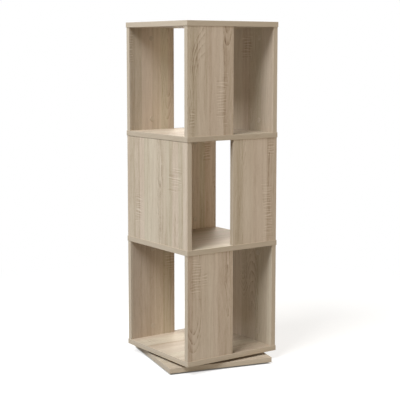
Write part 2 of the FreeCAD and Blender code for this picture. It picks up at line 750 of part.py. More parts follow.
def race_screws(label, seat, forward, turned):
    """Four pan-head screws through a race plate; forward ones point up."""
    body = new_body(label)
    drawn = sketch(body, level=seat)
    for x, y in four_corners(RACE_SCREW_OFFSET):
        circle(drawn, x, y, "Sizes.screw_head_diameter")
    pad(body, drawn, SCREW_HEAD_HEIGHT, not forward)

    def crown(edge, box):
        return is_round(edge) and near(edge.CenterOfMass.z, box.ZMin if forward else box.ZMax)

    rounding = f"min(Sizes.screw_head_rounding; 0.8 * {SCREW_HEAD_HEIGHT})"
    dress_edges(body, "Fillet", crown, rounding)

    drawn = sketch(body, level=seat)
    for x, y in four_corners(RACE_SCREW_OFFSET):
        circle(drawn, x, y, "Sizes.screw_diameter")
    pad(body, drawn, "Sizes.screw_length", forward)

    away = "-1" if forward else "1"
    crown_level = f"{seat} + {away} * {SCREW_HEAD_HEIGHT}"
    long_half = "Sizes.drive_length / 2"
    short_half = "Sizes.drive_width / 2"
    for half_x, half_y in ((long_half, short_half), (short_half, long_half)):
        drawn = sketch(body, level=crown_level)
        for x, y in four_corners(RACE_SCREW_OFFSET):
            rectangle(drawn, f"{x} - {half_x}", f"{x} + {half_x}",
                      f"{y} - {half_y}", f"{y} + {half_y}")
        pocket(body, drawn, "Sizes.drive_depth", forward)
    place(keep(body), BEARING_LEVEL, turned)


# ---------------------------------------------------------------- the whole cabinet


def build():
    fill_sheet()
    base_board()
    for name, x, y in (("front_left", -1, -1), ("front_right", 1, -1),
                       ("rear_left", -1, 1), ("rear_right", 1, 1)):
        glide(f"glide_{name}", f"{x} * {GLIDE_OFFSET}", f"{y} * {GLIDE_OFFSET}")
    glide_nails()
    lower_race()
    upper_race()
    ball_cage()
    balls()
    race_screws("bearing_lower_screws", "Sizes.race_thickness", False, True)
    upper_seat = f"({BEARING_HEIGHT} - Sizes.race_thickness)"
    race_screws("bearing_upper_screws", upper_seat, True, False)
    sides = [None] + [side for name, side in TIERS] + [None]
    boards = ("bottom_board", "lower_shelf", "upper_shelf", "top_board")
    for storeys_below, label in enumerate(boards):
        tower_board(label, storeys_below, sides[storeys_below], sides[storeys_below + 1])
    for storeys_below, (name, side) in enumerate(TIERS):
        tier(name, side, storeys_below)
    doc.recompute()


def check():
    """Stops if any object failed or any sub-part has no sound shape."""
    for item in doc.Objects:
        if {"Invalid", "Error"} & set(item.State):
            raise RuntimeError(f"{item.Label} failed: {item.State}")
    for piece in nodes:
        if piece.Shape.isNull() or not piece.Shape.isValid() or not piece.Shape.Solids:
            raise RuntimeError(f"{piece.Label} has no sound shape")


def export():
    os.makedirs("parts", exist_ok=True)
    for piece in nodes:
        piece.Shape.exportStep(f"parts/{piece.Label}.step")


build()
check()
export()
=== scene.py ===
import math
import random

import bpy
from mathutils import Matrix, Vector


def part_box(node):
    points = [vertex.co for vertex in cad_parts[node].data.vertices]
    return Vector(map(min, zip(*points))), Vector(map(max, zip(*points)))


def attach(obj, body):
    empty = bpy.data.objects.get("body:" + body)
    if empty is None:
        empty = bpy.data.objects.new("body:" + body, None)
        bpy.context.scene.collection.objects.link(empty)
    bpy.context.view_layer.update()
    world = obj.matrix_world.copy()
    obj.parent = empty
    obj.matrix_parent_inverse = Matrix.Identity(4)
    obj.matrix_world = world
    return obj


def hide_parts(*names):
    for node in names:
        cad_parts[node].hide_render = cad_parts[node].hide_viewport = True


# The look of a rotary filing cabinet: a tower of three storeys in rough-sawn oak print
# that turns on a ball bearing over a square base board. Metres; -Y is the front.

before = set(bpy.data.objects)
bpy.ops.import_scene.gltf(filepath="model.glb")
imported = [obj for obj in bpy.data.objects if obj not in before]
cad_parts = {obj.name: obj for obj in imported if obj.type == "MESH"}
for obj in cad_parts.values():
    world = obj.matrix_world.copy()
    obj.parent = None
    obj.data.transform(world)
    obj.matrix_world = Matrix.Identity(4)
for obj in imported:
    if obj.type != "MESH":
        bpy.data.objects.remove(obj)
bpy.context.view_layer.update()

MM = 0.001
TIERS = ("lower", "middle", "upper")
UPRIGHTS = ("side", "front", "rear")
TOWER_BOARDS = ("bottom_board", "lower_shelf", "upper_shelf", "top_board")
PANELS = [f"{tier}_{where}_panel" for tier in TIERS for where in UPRIGHTS]
BASE_TURN = 13.5  # degrees that the base board stands turned under the tower


# ---------------------------------------------------------------- material helpers


def srgb(code):
    """A hex colour as the eye reads it, turned to the linear light that shaders take."""
    parts = [int(code[at : at + 2], 16) / 255 for at in (1, 3, 5)]
    linear = [p / 12.92 if p <= 0.04045 else ((p + 0.055) / 1.055) ** 2.4 for p in parts]
    return (*linear, 1.0)


def per(size_mm):
    """The scale at which a pattern's features are this many millimetres wide."""
    return 1000.0 / size_mm


def node(tree, kind, inputs=(), **settings):
    """Adds a node with its settings. Its inputs, by order or by name, get values, nodes or
    sockets to read."""
    made = tree.nodes.new(kind if kind.startswith("NodeGroup") else f"ShaderNode{kind}")
    for name, value in settings.items():
        setattr(made, name, value)
    pairs = inputs.items() if isinstance(inputs, dict) else enumerate(inputs)
    for name, value in pairs:
        if isinstance(value, bpy.types.Node):
            value = value.outputs[0]
        if isinstance(value, bpy.types.NodeSocket):
            tree.links.new(value, made.inputs[name])
        elif value is not None:
            made.inputs[name].default_value = value
    return made


def blank_material(name):
    """An empty node tree, and the material that it belongs to."""
    material = bpy.data.materials.new(name)
    material.use_nodes = True
    tree = material.node_tree
    tree.nodes.clear()
    return material, tree


def ramp(made, stops):
    """Sets a Color Ramp's stops: a place from 0 to 1 and a colour code each."""
    elements = made.color_ramp.elements
    while len(elements) < len(stops):
        elements.new(1.0)
    for element, (place, code) in zip(elements, stops):
        element.position = place
        element.color = srgb(code)
    return made


# ---------------------------------------------------------------- oak print

# The boards are chipboard faced with melamine paper, printed with rough-sawn oak: pale
# greyish planks side by side, growth rings that close in long arches, short dark pores,
# and columns of ladder-like strokes where a saw crossed the grain. The paper is dull, and
# its print is pressed in so little that it shows only as a slight change of sheen.

# How far across the print an upright's inner face, or a board's upper face, is read from its
# other face. Millimetres.
OTHER_FACE = 500

# Where a board shows growth rings: their middle, across and along from the board's own,
# then how flat the arches are (a circle is 1), the first and last ring's half width, how dark
# they are, and the plank that they are on, from and to across the board. A first ring below
# zero fills the arches. Millimetres.
ARCHES = {
    "upper_front_panel": (
        (-11, -165, 0.24, 56, 86, 0.58, -90, -21),
        (63, 235, 0.16, 4, 26, 0.50, 38, 90),
        (50, 60, 0.03, -8, 8, 0.45, 30, 90),
    ),
    "middle_side_panel": (
        (-20, -40, 0.03, -19, 19, 1.10, -60, 20),
        (-112, 40, 0.16, 12, 50, 0.20, -175, -80),
        (120, -40, 0.10, -6, 34, 0.25, 95, 175),
    ),
    "middle_front_panel": (
        (-11, -165, 0.17, 42, 66, 0.40, -90, -38),
        (56, 70, 0.05, -9, 9, 0.55, 30, 90),
        (-44, -100, 0.03, -6, 6, 0.30, -90, 0),
    ),
    "lower_front_panel": (
        (-65, 60, 0.19, 22, 44, 0.55, -90, -36),
        (66, 86, 0.07, -15, 15, 0.60, 44, 90),
        (6, -40, 0.03, -9, 9, 0.20, -20, 30),
    ),
    "upper_side_panel": (
        (60, 90, 0.08, 0, 40, 0.4, 20, 120),
        (-90, -60, 0.12, 8, 40, 0.4, -130, -50),
        (OTHER_FACE - 60, 0, 0.10, 0, 40, 0.3, OTHER_FACE - 100, OTHER_FACE - 20),
    ),
}

# Where a board shows saw marks: across, how wide, from and to along it. Millimetres.
SAWN = {
    "upper_front_panel": ((41, 38, -140, 12), (-70, 24, -150, -70)),
    "middle_side_panel": ((102, 54, -112, -14), (-104, 76, 4, 82)),
    "middle_front_panel": ((50, 46, -162, 30), (62, 30, 104, 160)),
    "lower_front_panel": ((-50, 42, 28, 164), (-20, 20, 60, 110)),
    "upper_side_panel": ((40, 60, -140, -20), (-100, 40, 20, 120), (OTHER_FACE - 40, 60, 60, 145)),
}

# Which planks of the print some boards are cut from; the others take theirs in order
PLANKS = {
    "upper_front_panel": 25.1,
    "middle_side_panel": 28.5,
    "middle_front_panel": 25.1,
    "lower_front_panel": 23.4,
}

# Metres of the print from where one board or strip of banding is cut to the next, across the
# grain, through it and along it
BOARD_STEP = (1.31, 0.27, 0.71)
BANDING_STEP = (0.83, 0.19, 0.53)

# Millimetres
PLANK_WIDTH = 32
STRIP_WIDTH = 9
GRAIN_LEAN = 24  # from the farthest that the grain leans one way to the farthest the other way
RING_SPACING = 6.0
RING_SWAY = 7  # how far the rings wander
SAW_SPACING = 9.0
SAW_SWING = 15  # how far a stroke of the saw is out of level
PAPER = 0.2  # the printed paper's thickness

# How much late wood and early wood darken the tone, as a share of their arch's darkness. Early
# wood is a little paler than the rest of the board.
LATE_WOOD = 0.9
EARLY_WOOD = -0.2

# What a stroke of the saw, and the wood between two strokes, add to the tone
ON_STROKE = 0.25
BETWEEN_STROKES = -0.11

# How raggedly the strokes end, and the levels at which they begin to fade and are gone
RAGGED = 2.2
FADE_FROM = 1.6
GONE_AT = 1.95


def oak_grain():
    """What the print has everywhere. Place runs across the grain, through, along it."""
    tree = bpy.data.node_groups.new("oak_grain", "ShaderNodeTree")
    tree.interface.new_socket("Place", in_out="INPUT", socket_type="NodeSocketVector")
    tree.interface.new_socket("Aside", in_out="OUTPUT", socket_type="NodeSocketVector")
    for name in ("Tone", "Warmth", "Pores", "Wander", "Flecks", "Strokes", "Breaks"):
        tree.interface.new_socket(name, in_out="OUTPUT", socket_type="NodeSocketFloat")
    place = node(tree, "NodeGroupInput").outputs["Place"]

    # straight planks side by side, each of its own tone, and narrower strips within them
    across, _, along = node(tree, "SeparateXYZ", [place]).outputs
    picks = []
    for wide in (PLANK_WIDTH, STRIP_WIDTH):
        cells = node(tree, "TexVoronoi", {"W": across, "Scale": per(wide), "Smoothness": 0.1},
                     voronoi_dimensions="1D", feature="SMOOTH_F1")
        picks.append(node(tree, "SeparateColor", [cells.outputs["Color"]]))
    plank, strip = picks

    # the grain in them leans to and fro a little
    slow = node(tree, "Mapping", {"Vector": place, "Scale": (per(70), per(70), per(170))})
    lean = node(tree, "TexNoise", {"Vector": slow, "Scale": 1.0, "Detail": 1.0})
    whole_lean = (GRAIN_LEAN * MM, 0, 0)
    half_back = (-GRAIN_LEAN / 2 * MM, 0, 0)
    aside = node(tree, "VectorMath", [lean.outputs["Color"], whole_lean, half_back],
                 operation="MULTIPLY_ADD")
    bent = node(tree, "VectorMath", [place, aside], operation="ADD")

    # each pattern's features are so many millimetres wide and long, in so much detail, and
    # the last number shifts it so that no two patterns fall in step
    noise = {}
    for name, wide, long, detail, shift in (
        ("fibre", 1.5, 34, 3, 0), ("streak", 6, 170, 3, 1), ("seam", 12, 260, 3, 3),
        ("pores", 0.7, 9, 1, 4), ("cloud", 120, 380, 1, 7), ("patches", 50, 110, 1, 8),
        ("wander", 26, 90, 2, 9), ("flecks", 2.6, 22, 2, 11), ("breaks", 45, 5, 2, 5),
        ("jitter", 70, 15, 1, 6),
    ):
        size = (per(wide), per(4.0), per(long))
        laid = node(tree, "Mapping", {"Vector": bent, "Location": (shift, 0, 0), "Scale": size})
        noise[name] = node(tree, "TexNoise", {"Vector": laid, "Scale": 1.0, "Detail": detail})

    seam = node(tree, "MapRange", {"Value": noise["seam"], "From Min": 0.6, "From Max": 0.74})
    pores = node(tree, "MapRange", {"Value": noise["pores"], "From Min": 0.62, "From Max": 0.72})
    fleck = node(tree, "MapRange", {"Value": noise["flecks"], "From Min": 0.36, "From Max": 0.62})
    patch = node(tree, "MapRange", {"Value": noise["patches"], "From Min": 0.38, "From Max": 0.58,
                                    "To Min": 0.65})
    flecks = node(tree, "Math", [fleck, patch], operation="MULTIPLY")

    # strokes of the saw, each a thin pale line that is never quite level
    swung = node(tree, "Math", [noise["jitter"], SAW_SWING * MM, along], operation="MULTIPLY_ADD")
    counted = node(tree, "Math", [swung, per(SAW_SPACING)], operation="MULTIPLY")
    wave = node(tree, "Math", [counted, 0.5], operation="PINGPONG")
    strokes = node(tree, "MapRange", {"Value": wave, "From Min": 0.30, "From Max": 0.46})

    # all of them weighed into one tone, each by how far it is from its own mean
    tone = 0.5
    for pattern, mean, weight in (
        (plank.outputs["Red"], 0.5, 0.18), (strip.outputs["Red"], 0.5, 0.12),
        (noise["cloud"], 0.5, 0.20), (noise["streak"], 0.5, 0.36), (noise["fibre"], 0.5, 0.44),
        (seam, 0.05, -0.13), (pores, 0.1, -0.18),
    ):
        level = node(tree, "Math", [pattern, mean], operation="SUBTRACT")
        tone = node(tree, "Math", [level, weight, tone], operation="MULTIPLY_ADD")
    node(tree, "NodeGroupOutput", {"Aside": aside, "Tone": tone, "Warmth": plank.outputs["Green"],
                                   "Pores": pores, "Wander": noise["wander"], "Flecks": flecks,
                                   "Strokes": strokes, "Breaks": noise["breaks"]})
    return tree


def chips(tree, place):
    """Raw chipboard, where a board is cut or bored: flat chips glued in all directions."""
    coarse = node(tree, "TexVoronoi", {"Vector": place, "Scale": per(2.6)})
    fine = node(tree, "TexNoise", {"Vector": place, "Scale": per(0.9), "Detail": 2.0})
    pick = node(tree, "SeparateColor", [coarse.outputs["Color"]])
    level = node(tree, "Math", [fine, 0.8, pick.outputs["Red"]], operation="MULTIPLY_ADD")
    return ramp(node(tree, "ValToRGB", [level]),
                ((0.2, "#8D6F4B"), (0.6, "#B4946A"), (0.8, "#C2A47A"), (1.0, "#D2B88F")))


def oak_tone(tree, grain, place, arches, sawn):
    """The grain's tone, with one board's own arches and saw marks laid over it."""
    tone = grain.outputs["Tone"]
    across = node(tree, "SeparateXYZ", [place]).outputs["X"]
    bent = node(tree, "VectorMath", [place, grain.outputs["Aside"]], operation="ADD")
    for u, v, flatness, first, last, dark, left, right in arches:
        away = node(tree, "VectorMath", [bent, (u * MM, 0, v * MM)], operation="SUBTRACT")
        squeezed = node(tree, "VectorMath", [away, (1, 0, flatness)], operation="MULTIPLY")
        out = node(tree, "VectorMath", [squeezed], operation="LENGTH").outputs["Value"]
        swayed = node(tree, "Math", [grain.outputs["Wander"], RING_SWAY * MM, out],
                      operation="MULTIPLY_ADD")
        counted = node(tree, "Math", [swayed, per(RING_SPACING)], operation="MULTIPLY")
        part = node(tree, "Math", [counted], operation="FRACT")
        late = node(tree, "Math", [part, 2.0], operation="POWER")
        wood = node(tree, "Math", [late, LATE_WOOD - EARLY_WOOD, EARLY_WOOD],
                    operation="MULTIPLY_ADD")
        from_mid = node(tree, "Math", [out, (first + last) / 2 * MM], operation="SUBTRACT")
        distance = node(tree, "Math", [from_mid], operation="ABSOLUTE")
        half = (last - first) / 2 * MM
        fade = node(tree, "MapRange", {"Value": distance, "From Min": 0.5 * half, "From Max": half,
                                       "To Min": -dark, "To Max": 0.0})
        on_plank = node(tree, "Math", [across, (left + right) / 2 * MM, (right - left) / 2 * MM],
                        operation="COMPARE")
        shown = node(tree, "Math", [on_plank, fade], operation="MULTIPLY")
        ring = node(tree, "Math", [wood, shown], operation="MULTIPLY")
        tone = node(tree, "Math", [ring, grain.outputs["Flecks"], tone], operation="MULTIPLY_ADD")
    for u, wide, low, high in sawn:
        # 0 in the middle of the marks and 1 at their edges
        middle = (u * MM, 0, (low + high) / 2 * MM)
        away = node(tree, "VectorMath", [bent, middle], operation="SUBTRACT")
        share = node(tree, "VectorMath", [away, (2 * per(wide), 0, 2 * per(high - low))],
                     operation="MULTIPLY")
        outward = node(tree, "VectorMath", [share], operation="ABSOLUTE")
        x, _, z = node(tree, "SeparateXYZ", [outward]).outputs
        edge = node(tree, "Math", [x, z], operation="MAXIMUM")
        # each stroke ends where it will, and some are missing
        rough = node(tree, "Math", [grain.outputs["Breaks"], RAGGED, edge],
                     operation="MULTIPLY_ADD")
        patch = node(tree, "MapRange", {"Value": rough, "From Min": FADE_FROM, "From Max": GONE_AT,
                                        "To Min": 1.0, "To Max": 0.0})
        relief = node(tree, "Math", [grain.outputs["Strokes"], ON_STROKE - BETWEEN_STROKES,
                                     BETWEEN_STROKES], operation="MULTIPLY_ADD")
        tone = node(tree, "Math", [relief, patch, tone], operation="MULTIPLY_ADD")
    return tone


OAK_GRAIN = oak_grain()
OAK_STOPS = ((0.0, "#86705C"), (0.3, "#B09E8A"), (0.55, "#C6B7A5"), (1.0, "#DDD2C3"))
BANDING_STOPS = ((0.0, "#94826C"), (0.5, "#BBAD99"), (1.0, "#D1C4B3"))
# what the colour of the warmest and of the coolest planks is multiplied by
WARM_PLANK = "#FEFBF9"
COOL_PLANK = "#F6F9F2"


def melamine(tree, colour, height):
    """A dull pressed paper over the colour; its sheen is lost where the print is dark."""
    bump = node(tree, "Bump", {"Height": height, "Strength": 0.3, "Distance": 0.08 * MM})
    rough = node(tree, "MapRange", {"Value": height, "To Min": 0.68, "To Max": 0.56})
    shader = node(tree, "BsdfPrincipled", {"Base Color": colour, "Roughness": rough, "Normal": bump,
                                           "IOR": 1.5, "Specular IOR Level": 0.25})
    node(tree, "OutputMaterial", {"Surface": shader})


def from_middle(tree, node_name):
    """The place on a board, from its middle, with the base board's turn taken out."""
    low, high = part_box(node_name)
    turn = BASE_TURN if node_name.startswith("base") else 0.0
    where = node(tree, "TexCoord").outputs["Object"]
    turned = node(tree, "Mapping", {"Vector": where, "Rotation": (0, 0, math.radians(turn))})
    return node(tree, "VectorMath", [turned, (low + high) / 2], operation="SUBTRACT")


def marks_by_chance(order):
    """Arches and saw marks as above for a board that has none of its own there: two of each
    on either face, the same in each run."""
    chance = random.Random(order)
    faces = (0, 0, OTHER_FACE, OTHER_FACE)
    middles = [chance.uniform(-150, 150) + face for face in faces]
    arches = [(u, chance.uniform(-150, 150), chance.uniform(0.04, 0.35), chance.uniform(-20, 20),
               chance.uniform(24, 55), chance.uniform(0.25, 0.5), u - chance.uniform(10, 50),
               u + chance.uniform(10, 50)) for u in middles]
    starts = [(chance.uniform(-140, 140) + face, chance.uniform(-160, 60)) for face in faces]
    sawn = [(u, chance.uniform(28, 50), low, low + chance.uniform(50, 120)) for u, low in starts]
    return arches, sawn


def oak_board(name, order):
    """A board or upright: the print on both faces, raw chipboard in its holes and ends."""
    material, tree = blank_material(f"oak_print_{name}")
    centred = from_middle(tree, name)
    axes = node(tree, "SeparateXYZ", [centred]).outputs
    if name not in PANELS:
        across, through, along = axes[1], axes[2], axes[0]
    elif "side" in name:
        across, through, along = axes[1], axes[0], axes[2]
    else:
        across, through, along = axes
    # uprights on the right and in the rear have their inner face on the lower side of the axis
    faces_down_axis = "rear" in name or name in ("upper_side_panel", "lower_side_panel")
    inner = node(tree, "Math", [through, 0.0],
                 operation="LESS_THAN" if faces_down_axis else "GREATER_THAN")
    across = node(tree, "Math", [inner, OTHER_FACE * MM, across], operation="MULTIPLY_ADD")
    place = node(tree, "CombineXYZ", [across, 0.0, along])
    steps = (PLANKS.get(name, order), order, order)
    cut_at = [step * count for step, count in zip(BOARD_STEP, steps)]
    moved = node(tree, "VectorMath", [place, cut_at], operation="ADD")
    grain = node(tree, "Group", {"Place": moved}, node_tree=OAK_GRAIN)

    arches, sawn = (ARCHES[name], SAWN[name]) if name in ARCHES else marks_by_chance(order)
    tone = oak_tone(tree, grain, place, arches, sawn)
    shade = ramp(node(tree, "ValToRGB", [tone]), OAK_STOPS)
    tint = node(tree, "Mix", {0: grain.outputs["Warmth"], 6: srgb(COOL_PLANK), 7: srgb(WARM_PLANK)},
                data_type="RGBA").outputs[2]
    printed = node(tree, "Mix", {0: 1.0, 6: shade, 7: tint},
                   data_type="RGBA", blend_type="MULTIPLY").outputs[2]

    depth = node(tree, "Math", [through], operation="ABSOLUTE")
    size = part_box(name)[1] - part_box(name)[0]
    paper_starts = min(size) / 2 - PAPER * MM
    is_raw = node(tree, "Math", [depth, paper_starts], operation="LESS_THAN")
    colour = node(tree, "Mix", {0: is_raw, 6: printed, 7: chips(tree, centred)}, data_type="RGBA")
    pressed = node(tree, "Math", [grain.outputs["Pores"], -0.5, tone], operation="MULTIPLY_ADD")
    melamine(tree, colour.outputs[2], pressed)
    return material


def oak_banding(name, order):
    """Edge strips: plain straight grain along each strip of the ring or pair."""
    material, tree = blank_material(f"oak_banding_{name}")
    centred = from_middle(tree, name)
    x, y, z = node(tree, "SeparateXYZ", [centred]).outputs
    if name in PANELS:
        wide = node(tree, "Math", [x, y], operation="ADD")
        long = z
    else:
        far_x = node(tree, "Math", [x], operation="ABSOLUTE")
        far_y = node(tree, "Math", [y], operation="ABSOLUTE")
        on_side = node(tree, "Math", [far_x, far_y], operation="GREATER_THAN")
        other = node(tree, "Math", [y, x], operation="SUBTRACT")
        long = node(tree, "Math", [on_side, other, x], operation="MULTIPLY_ADD")
        wide = z
    place = node(tree, "CombineXYZ", [wide, 0.0, long])
    cut_at = [step * order for step in BANDING_STEP]
    moved = node(tree, "VectorMath", [place, cut_at], operation="ADD")
    grain = node(tree, "Group", {"Place": moved}, node_tree=OAK_GRAIN)
    tone = node(tree, "MapRange", {"Value": grain.outputs["Tone"], "To Min": 0.2, "To Max": 0.8})
    colour = ramp(node(tree, "ValToRGB", [tone]), BANDING_STOPS)
    melamine(tree, colour, tone)
    return material


def dress(name, material):
    """Gives a carried-over node its material."""
    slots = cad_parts[name].data.materials
    slots.clear()
    slots.append(material)


def cover_boards():
    for order, name in enumerate([*PANELS, *TOWER_BOARDS, "base_board"]):
        dress(name, oak_board(name, order))
        dress(f"{name}_edging", oak_banding(name, order))


# ---------------------------------------------------------------- hardware finishes

ROUGHNESS_PLAY = 0.06  # how far a plastic's roughness goes to either side of its mean


def beech():
    """Turned beech, pressed with flutes: pinkish cream, with short dark rays along the grain."""
    material, tree = blank_material("turned_beech")
    where = node(tree, "TexCoord").outputs["Object"]
    long = node(tree, "Mapping", {"Vector": where, "Scale": (per(0.8), per(0.8), per(14))})
    grain = node(tree, "TexNoise", {"Vector": long, "Scale": 1.0, "Detail": 3.0})
    short = node(tree, "Mapping", {"Vector": where, "Scale": (per(0.35), per(0.35), per(2.4))})
    rays = node(tree, "TexNoise", {"Vector": short, "Scale": 1.0, "Detail": 1.0})
    flecked = node(tree, "MapRange", {"Value": rays, "From Min": 0.6, "From Max": 0.7, "To Max": -0.3})
    tone = node(tree, "Math", [grain, flecked], operation="ADD")
    colour = ramp(node(tree, "ValToRGB", [tone]),
                  ((0.1, "#A9805A"), (0.45, "#CFA87E"), (0.75, "#DFC09A")))
    bump = node(tree, "Bump", {"Height": grain, "Strength": 0.5, "Distance": 0.05 * MM})
    shader = node(tree, "BsdfPrincipled", {"Base Color": colour, "Roughness": 0.62, "Normal": bump,
                                           "IOR": 1.5})
    node(tree, "OutputMaterial", {"Surface": shader})
    return material


def metal(name, dark, light, rough_from, rough_to, grit_mm, blotch_mm, depth_mm):
    """Bare or plated metal: a tone that drifts in blotches, and a fine grit in the sheen."""
    material, tree = blank_material(name)
    where = node(tree, "TexCoord").outputs["Object"]
    blotch = node(tree, "TexNoise", {"Vector": where, "Scale": per(blotch_mm), "Detail": 3.0})
    grit = node(tree, "TexNoise", {"Vector": where, "Scale": per(grit_mm), "Detail": 2.0})
    mixed = node(tree, "Math", [grit, 0.4, blotch], operation="MULTIPLY_ADD")
    colour = ramp(node(tree, "ValToRGB", [mixed]), ((0.45, dark), (0.95, light)))
    rough = node(tree, "MapRange", {"Value": mixed, "From Min": 0.4, "From Max": 1.0,
                                    "To Min": rough_to, "To Max": rough_from})
    bump = node(tree, "Bump", {"Height": grit, "Strength": 0.4, "Distance": depth_mm * MM})
    shader = node(tree, "BsdfPrincipled", {"Base Color": colour, "Roughness": rough, "Normal": bump,
                                           "Metallic": 1.0})
    node(tree, "OutputMaterial", {"Surface": shader})
    return material


def zinc_plated(name):
    """Zinc-plated steel, as on small fasteners: bright, a little cloudy."""
    return metal(name, "#A9ACAB", "#D6D8D6", rough_from=0.22, rough_to=0.38, grit_mm=0.3,
                 blotch_mm=5, depth_mm=0.02)


def galvanised_sheet():
    """Hot-dip galvanised steel sheet: flat crystals of zinc, each of its own grey, and
    faint lines along the way that it was rolled."""
    material, tree = blank_material("galvanised_sheet")
    where = node(tree, "TexCoord").outputs["Object"]
    spangle = node(tree, "TexVoronoi", {"Vector": where, "Scale": per(7)})
    pick = node(tree, "SeparateColor", [spangle.outputs["Color"]])
    rolled = node(tree, "Mapping", {"Vector": where, "Scale": (per(60), per(0.5), per(0.5))})
    lines = node(tree, "TexNoise", {"Vector": rolled, "Scale": 1.0, "Detail": 2.0})
    tone = node(tree, "Math", [lines, 0.5, pick.outputs["Red"]], operation="MULTIPLY_ADD")
    colour = ramp(node(tree, "ValToRGB", [tone]), ((0.2, "#A5AAAD"), (1.0, "#C6CACB")))
    rough = node(tree, "MapRange", {"Value": pick.outputs["Green"], "To Min": 0.34, "To Max": 0.5})
    bump = node(tree, "Bump", {"Height": lines, "Strength": 0.3, "Distance": 0.02 * MM})
    shader = node(tree, "BsdfPrincipled", {"Base Color": colour, "Roughness": rough, "Normal": bump,
                                           "Metallic": 1.0})
    node(tree, "OutputMaterial", {"Surface": shader})
    return material


def moulded_plastic(name, dark, light, roughness, grain_mm):
    """Injection-moulded plastic: an even colour, with the fine spark-eroded grain of its
    mould, drawn a little coarser than it is so that it shows."""
    material, tree = blank_material(name)
    where = node(tree, "TexCoord").outputs["Object"]
    cloud = node(tree, "TexNoise", {"Vector": where, "Scale": per(14), "Detail": 2.0})
    grain = node(tree, "TexNoise", {"Vector": where, "Scale": per(grain_mm), "Detail": 2.0})
    mixed = node(tree, "Math", [grain, 0.35, cloud], operation="MULTIPLY_ADD")
    colour = ramp(node(tree, "ValToRGB", [mixed]), ((0.4, dark), (0.95, light)))
    rough = node(tree, "MapRange", {"Value": grain, "To Min": roughness - ROUGHNESS_PLAY,
                                    "To Max": roughness + ROUGHNESS_PLAY})
    bump = node(tree, "Bump", {"Height": grain, "Strength": 0.35, "Distance": 0.04 * MM})
    shader = node(tree, "BsdfPrincipled", {"Base Color": colour, "Roughness": rough, "Normal": bump,
                                           "IOR": 1.5})
    node(tree, "OutputMaterial", {"Surface": shader})
    return material


# ---------------------------------------------------------------- modelling helpers

MERGE_DISTANCE = 0.002  # millimetres
THREAD_STEPS = 14  # faces of a thread's ridge in one turn
RIDGE_SHARE = 0.84  # of a thread's pitch that its ridge takes up
SMOOTH_BELOW = 40  # degrees between two faces that shade as one surface


def deselect():
    bpy.ops.object.select_all(action="DESELECT")


def turned(name, profile, sides, ring=False):
    """A turned piece on the Z axis, drawn up disc by disc through (radius, height) in mm.
    A ring ends on the circle that it starts from and is open in the middle."""
    deselect()
    (radius, height), *steps = profile
    bpy.ops.mesh.primitive_circle_add(vertices=sides, radius=radius * MM, location=(0, 0, height * MM),
                                      fill_type="NOTHING" if ring else "NGON")
    piece = bpy.context.object
    piece.name = name
    bpy.ops.object.transform_apply()
    bpy.ops.object.mode_set(mode="EDIT")
    bpy.ops.mesh.select_all(action="SELECT")
    for next_radius, next_height in steps:
        bpy.ops.mesh.extrude_region_move(
            TRANSFORM_OT_translate={"value": (0, 0, (next_height - height) * MM)})
        share = next_radius / radius
        bpy.ops.transform.resize(value=(share, share, 1), center_override=(0, 0, next_height * MM))
        radius, height = next_radius, next_height
    bpy.ops.mesh.select_all(action="SELECT")
    bpy.ops.mesh.remove_doubles(threshold=MERGE_DISTANCE * MM)
    bpy.ops.mesh.normals_make_consistent(inside=False)
    bpy.ops.object.mode_set(mode="OBJECT")
    return piece


def thread(core, crest, pitch, start, turns):
    """A screw thread's ridge: a rhomb, half sunk in the core, wound up the Z axis. In mm."""
    deselect()
    bpy.ops.mesh.primitive_circle_add(vertices=4, radius=MM, fill_type="NOTHING",
                                      rotation=(math.pi / 2, 0, 0))
    ridge = bpy.context.object
    bpy.ops.object.transform_apply()
    bpy.ops.object.mode_set(mode="EDIT")
    bpy.ops.mesh.select_all(action="SELECT")
    half_high = RIDGE_SHARE / 2 * pitch
    bpy.ops.transform.resize(value=(crest - core, 1, half_high), center_override=(0, 0, 0))
    bpy.ops.transform.translate(value=(core * MM, 0, start * MM))
    bpy.ops.object.mode_set(mode="OBJECT")
    bpy.ops.object.modifier_add(type="SCREW")
    wound = ridge.modifiers[-1]
    wound.steps = THREAD_STEPS
    wound.render_steps = THREAD_STEPS
    wound.iterations = turns
    wound.screw_offset = pitch * MM
    bpy.ops.object.modifier_apply(modifier=wound.name)
    bpy.ops.object.mode_set(mode="EDIT")
    bpy.ops.mesh.select_all(action="DESELECT")
    bpy.ops.mesh.select_mode(type="EDGE")
    bpy.ops.mesh.select_non_manifold()
    bpy.ops.mesh.fill_holes(sides=4)
    bpy.ops.mesh.select_all(action="SELECT")
    bpy.ops.mesh.normals_make_consistent(inside=False)
    bpy.ops.object.mode_set(mode="OBJECT")
    return ridge


def joined(name, pieces):
    """Several meshes made one object."""
    deselect()
    for piece in pieces:
        piece.select_set(True)
    bpy.context.view_layer.objects.active = pieces[0]
    if len(pieces) > 1:
        bpy.ops.object.join()
    pieces[0].name = name
    pieces[0].data.name = name
    return pieces[0]


def set_out(name, model, stands):
    """Copies of a model, each stood at its place with its Z axis the way given, as one piece.
    The model itself is used up."""
    copies = []
    for place, way in stands:
        deselect()
        model.select_set(True)
        bpy.context.view_layer.objects.active = model
        bpy.ops.object.duplicate()
        copy = bpy.context.object
        copy.location = place
        copy.rotation_euler = Vector(way).to_track_quat("Z", "Y").to_euler()
        bpy.ops.object.transform_apply()
        copies.append(copy)
    bpy.data.objects.remove(model)
    return joined(name, copies)


def hand_over(piece, body, node_name, material):
    """Finishes a piece: its material, the body that it rides on, the node that it stands for."""
    deselect()
    piece.select_set(True)
    bpy.context.view_layer.objects.active = piece
    bpy.ops.object.shade_smooth_by_angle(angle=math.radians(SMOOTH_BELOW))
    piece.data.materials.clear()
    piece.data.materials.append(material)
    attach(piece, body)
    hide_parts(node_name)


# ---------------------------------------------------------------- where the fittings stand

